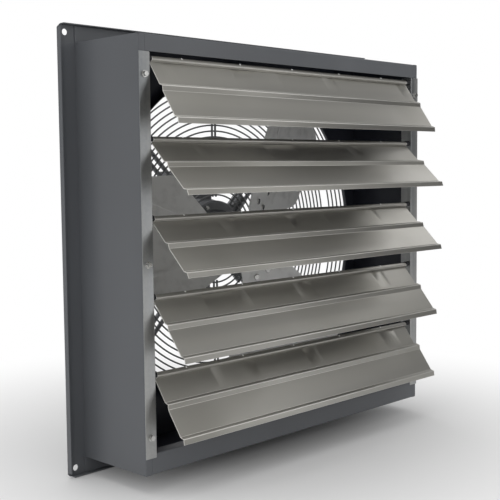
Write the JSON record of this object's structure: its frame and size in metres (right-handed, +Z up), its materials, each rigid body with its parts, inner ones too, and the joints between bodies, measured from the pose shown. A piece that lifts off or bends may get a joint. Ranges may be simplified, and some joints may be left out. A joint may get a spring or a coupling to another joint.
{
  "type": "wall exhaust fan with gravity louvers",
  "caption": "Box-mounted wall exhaust fan with swinging front louvers, bell-mouthed orifice, sheet-blade propeller, wire guard and rear motor on bent rods.",
  "frame": {"origin": "centre of the wall flange's bolt pattern, on the fan axis, in the front face of the flange sheet", "axes": "+X right seen from the louvers, +Y into the room along the fan axis, +Z up"},
  "size_m": [0.764, 0.4488, 0.716],
  "materials": {
    "housing_paint": "satin powder coat, dark blue grey",
    "galvanised": "galvanised sheet",
    "zinc": "bright zinc",
    "bushing_nylon": "black nylon",
    "louver_aluminium": "mill finish",
    "steel": "bright drawn",
    "blade_aluminium": "mill finish",
    "cast_aluminium": "as cast",
    "guard_wire": "satin powder coat, dark grey",
    "support_paint": "satin powder coat, dark grey",
    "motor_paint": "satin enamel, dark grey",
    "lamination": "stacked sheet",
    "winding_copper": "enamelled copper",
    "gland_nylon": "black nylon"
  },
  "bodies": {
    "housing": {"left_side_panel": "housing_paint", "right_side_panel": "housing_paint", "top_panel": "housing_paint", "bottom_panel": "housing_paint", "orifice_panel": "housing_paint", "left_shutter_channel": "galvanised", "right_shutter_channel": "galvanised", "channel_screws": "zinc", "guard_screws": "zinc", "support_foot_bolts": "zinc", "support_foot_nuts": "zinc", "support_band_screws": "zinc", "clamp_band_bolt": "zinc", "motor_through_bolts": "zinc", "motor_through_nuts": "zinc", "conduit_cover_screws": "zinc", "pivot_bushings": "bushing_nylon", "front_bearing": "steel", "rear_bearing": "steel", "guard_end_rings": "guard_wire", "guard_side_rings": "guard_wire", "guard_struts": "guard_wire", "guard_clips": "guard_wire", "motor_support_upper_right": "support_paint", "motor_support_upper_left": "support_paint", "motor_support_lower_left": "support_paint", "motor_support_lower_right": "support_paint", "motor_clamp_band": "support_paint", "motor_front_bell": "motor_paint", "motor_rear_bell": "motor_paint", "motor_shell": "motor_paint", "conduit_box": "motor_paint", "conduit_box_cover": "motor_paint", "stator_core": "lamination", "stator_windings": "winding_copper", "cable_gland": "gland_nylon", "gland_locknut": "gland_nylon"},
    "rotor": {"motor_shaft": "steel", "rotor_core": "lamination", "propeller_spider": "cast_aluminium", "hub_set_screws": "zinc", "blade_rivets": "zinc", "propeller_blade_1": "blade_aluminium", "propeller_blade_2": "blade_aluminium", "propeller_blade_3": "blade_aluminium"},
    "louver_1": {"louver_blade_1": "louver_aluminium", "louver_rod_1": "steel"},
    "louver_2": {"louver_blade_2": "louver_aluminium", "louver_rod_2": "steel"},
    "louver_3": {"louver_blade_3": "louver_aluminium", "louver_rod_3": "steel"},
    "louver_4": {"louver_blade_4": "louver_aluminium", "louver_rod_4": "steel"},
    "louver_5": {"louver_blade_5": "louver_aluminium", "louver_rod_5": "steel"}
  },
  "joints": [
    {"name": "fan_spin", "type": "hinge", "parent": "housing", "child": "rotor", "pos_m": [0, 0, 0], "axis": [0, 1, 0], "continuous": true},
    {"name": "louver_swing_1", "type": "hinge", "parent": "housing", "child": "louver_1", "pos_m": [0, -0.1514, 0.2956], "axis": [-1, 0, 0], "range_deg": [-30.5, 30.5]},
    {"name": "louver_swing_2", "type": "hinge", "parent": "housing", "child": "louver_2", "pos_m": [0, -0.1514, 0.1771], "axis": [-1, 0, 0], "range_deg": [-42.5, 18.5]},
    {"name": "louver_swing_3", "type": "hinge", "parent": "housing", "child": "louver_3", "pos_m": [0, -0.1514, 0.0586], "axis": [-1, 0, 0], "range_deg": [-41, 20]},
    {"name": "louver_swing_4", "type": "hinge", "parent": "housing", "child": "louver_4", "pos_m": [0, -0.1514, -0.0599], "axis": [-1, 0, 0], "range_deg": [-34.5, 26.5]},
    {"name": "louver_swing_5", "type": "hinge", "parent": "housing", "child": "louver_5", "pos_m": [0, -0.1514, -0.1784], "axis": [-1, 0, 0], "range_deg": [-31.5, 29.5]}
  ]
}
